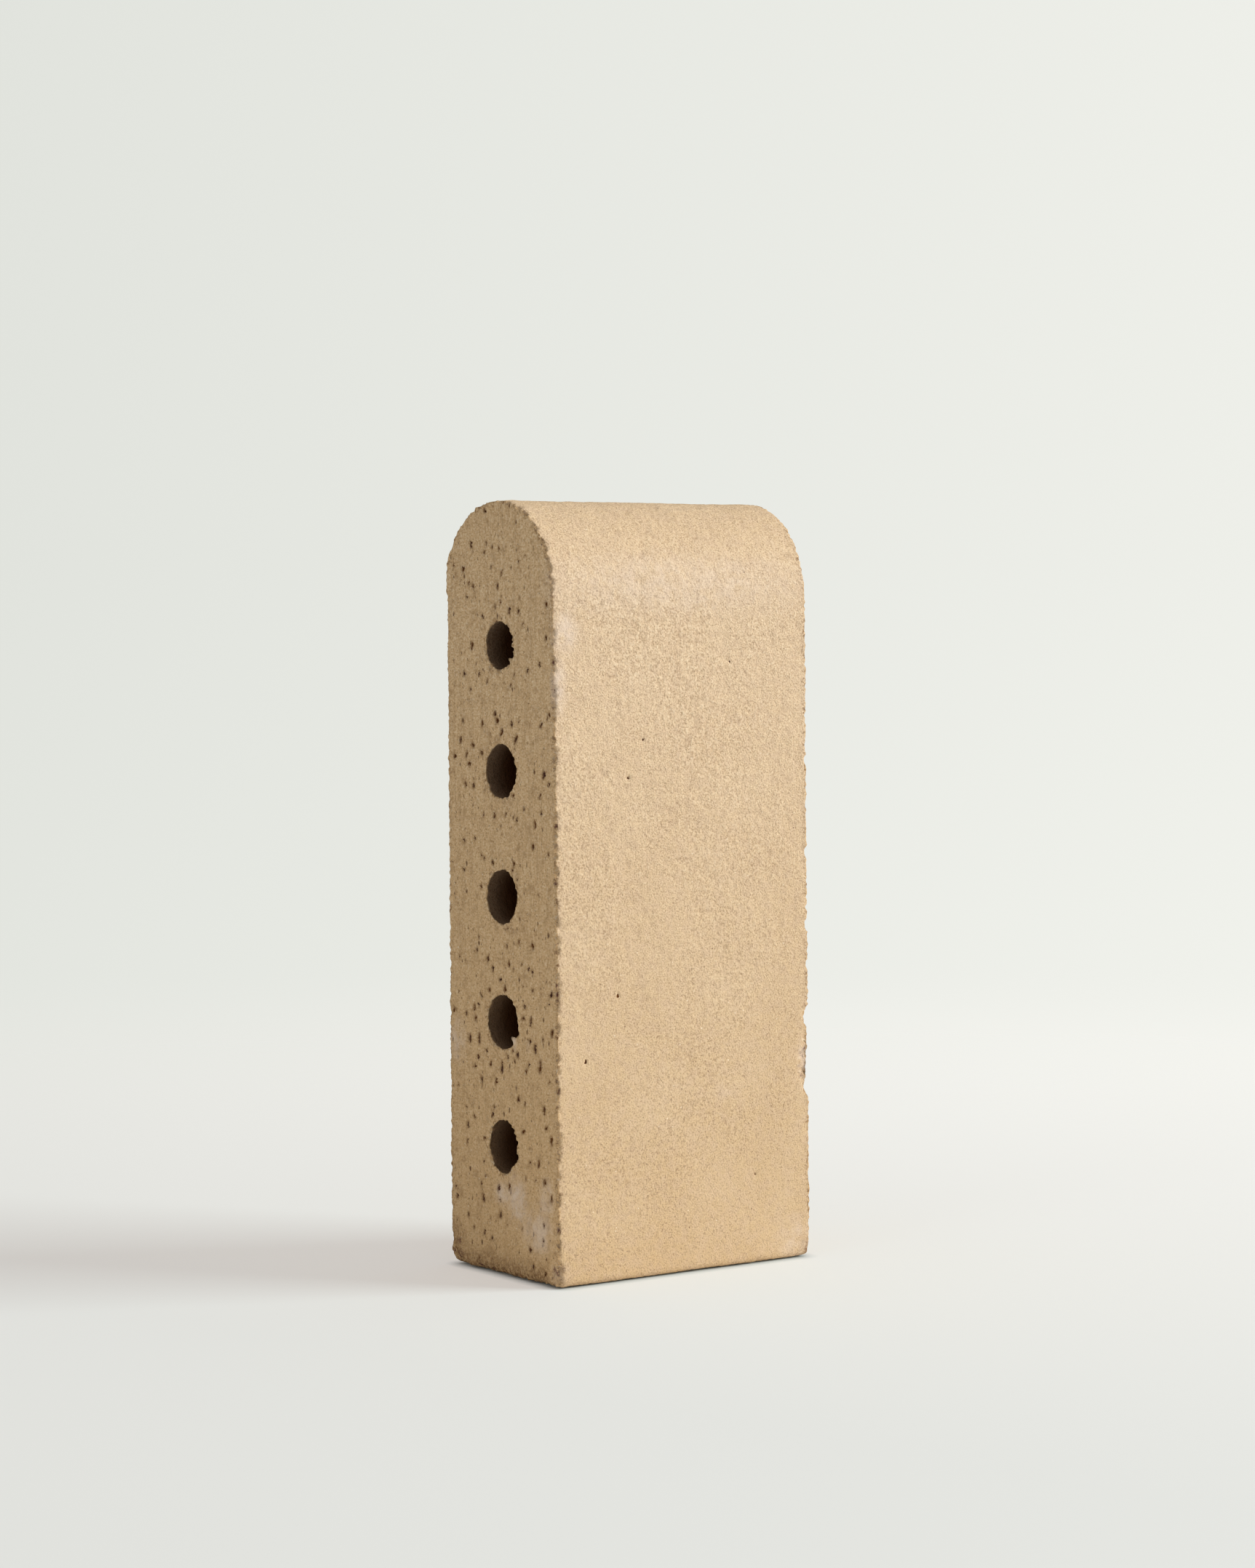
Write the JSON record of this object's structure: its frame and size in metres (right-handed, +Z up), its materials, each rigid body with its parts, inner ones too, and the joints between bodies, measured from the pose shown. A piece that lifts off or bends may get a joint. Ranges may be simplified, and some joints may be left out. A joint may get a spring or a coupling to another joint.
{
  "type": "bullnose clay paver",
  "caption": "Slab of fired clay with a half-round nose, a square foot and a row of round core holes through its width, for edging steps, copings and paths.",
  "frame": {"origin": "centre of the square foot, at floor level", "axes": "+Z up the length from the foot to the crown of the nose, X along the core holes from cut face to cut face, Y across the thickness from die face to die face"},
  "size_m": [0.092, 0.057, 0.229],
  "materials": {
    "fired_clay": "unglazed buff clay with a fine sandy skin on the die faces and a dragged, pitted wire-cut surface on the two ends of the core holes"
  },
  "bodies": {
    "root": {"paver": "fired_clay"}
  },
  "joints": []
}
